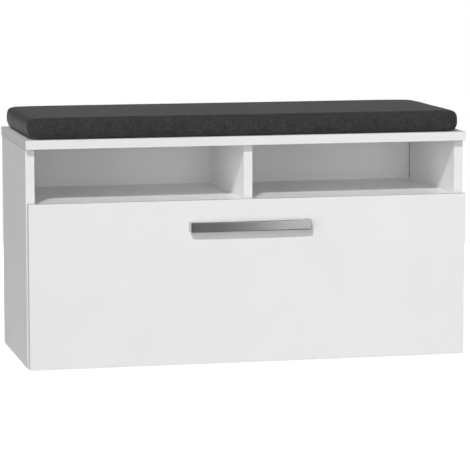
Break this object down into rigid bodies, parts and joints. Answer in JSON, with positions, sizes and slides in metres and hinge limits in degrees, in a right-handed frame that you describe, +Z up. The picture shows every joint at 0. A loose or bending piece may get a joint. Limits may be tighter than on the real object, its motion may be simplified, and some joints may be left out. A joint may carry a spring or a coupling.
{
  "type": "entryway bench",
  "caption": "Low board bench with open niches over a wide pull-out drawer with a bar handle, and a loose padded seat cushion on top.",
  "frame": {"origin": "on the floor, under the middle of the bench's overall box, handle included", "axes": "+X to the right along the bench's length, +Y to the back, +Z up; the drawer opens towards -Y"},
  "size_m": [0.803, 0.326, 0.445],
  "materials": {
    "melamine_board": "satin white melamine on chipboard",
    "plastic_edging": "satin white plastic edging",
    "white_hardboard": "white lacquered hardboard",
    "coated_steel": "white powder coat",
    "nylon": "natural nylon",
    "white_plastic": "moulded, satin",
    "beech": "raw beech",
    "satin_handle": "satin brushed, grey",
    "clear_rubber": "soft, cloudy",
    "charcoal_fabric": "charcoal melange weave",
    "seat_foam": "open-cell foam",
    "tape_fabric": "hook-and-loop pile",
    "zinc_cast": "zinc die casting",
    "zinc_steel": "zinc plated"
  },
  "bodies": {
    "carcass": {"back_panel": "white_hardboard", "back_panel_screws": "zinc_steel", "bottom_panel": "melamine_board", "cabinet_roller_axles": "zinc_steel", "cabinet_runner_screws": "zinc_steel", "cam_cover_caps": "white_plastic", "carcass_cam_bolts": "zinc_steel", "carcass_cam_locks": "zinc_cast", "carcass_dowels": "beech", "centre_divider": "melamine_board", "cushion_cover": "charcoal_fabric", "cushion_foam": "seat_foam", "divider_screws": "zinc_steel", "foot_glides": "white_plastic", "hook_tapes": "tape_fabric", "left_cabinet_runner": "coated_steel", "left_side_panel": "melamine_board", "loop_tapes": "tape_fabric", "right_cabinet_runner": "coated_steel", "right_side_panel": "melamine_board", "shelf_and_divider_edging": "plastic_edging", "shelf_panel": "melamine_board", "side_panel_edging": "plastic_edging", "top_panel": "melamine_board", "top_panel_edging": "plastic_edging"},
    "drawer": {"drawer_back": "melamine_board", "drawer_back_screws": "zinc_steel", "drawer_bottom": "white_hardboard", "drawer_bottom_screws": "zinc_steel", "drawer_cam_bolts": "zinc_steel", "drawer_cam_locks": "zinc_cast", "drawer_dowels": "beech", "drawer_front": "melamine_board", "drawer_front_edging": "plastic_edging", "drawer_left_side": "melamine_board", "drawer_right_side": "melamine_board", "drawer_roller_axles": "zinc_steel", "drawer_runner_screws": "zinc_steel", "front_bumpers": "clear_rubber", "handle_bow": "satin_handle", "handle_screws": "zinc_steel", "left_drawer_runner": "coated_steel", "right_drawer_runner": "coated_steel"},
    "left_cabinet_roller": {"left_cabinet_roller": "nylon"},
    "right_cabinet_roller": {"right_cabinet_roller": "nylon"},
    "left_drawer_roller": {"left_drawer_roller": "nylon"},
    "right_drawer_roller": {"right_drawer_roller": "nylon"}
  },
  "joints": [
    {"name": "drawer_slide", "type": "slide", "parent": "carcass", "child": "drawer", "axis": [0, -1, 0], "range_m": [0, 0.185]},
    {"name": "left_cabinet_roller_spin", "type": "hinge", "parent": "carcass", "child": "left_cabinet_roller", "pos_m": [-0.3783, -0.109, 0.0465], "axis": [1, 0, 0], "continuous": true},
    {"name": "right_cabinet_roller_spin", "type": "hinge", "parent": "carcass", "child": "right_cabinet_roller", "pos_m": [0.3783, -0.109, 0.0465], "axis": [1, 0, 0], "continuous": true},
    {"name": "left_drawer_roller_spin", "type": "hinge", "parent": "drawer", "child": "left_drawer_roller", "pos_m": [-0.3772, 0.109, 0.0437], "axis": [1, 0, 0], "continuous": true},
    {"name": "right_drawer_roller_spin", "type": "hinge", "parent": "drawer", "child": "right_drawer_roller", "pos_m": [0.3772, 0.109, 0.0437], "axis": [1, 0, 0], "continuous": true}
  ],
  "couplings": [
    {"joint": "left_cabinet_roller_spin", "follows": "drawer_slide", "rad_per_m": 121.95},
    {"joint": "right_cabinet_roller_spin", "follows": "drawer_slide", "rad_per_m": 121.95},
    {"joint": "left_drawer_roller_spin", "follows": "drawer_slide", "rad_per_m": 121.95},
    {"joint": "right_drawer_roller_spin", "follows": "drawer_slide", "rad_per_m": 121.95}
  ]
}
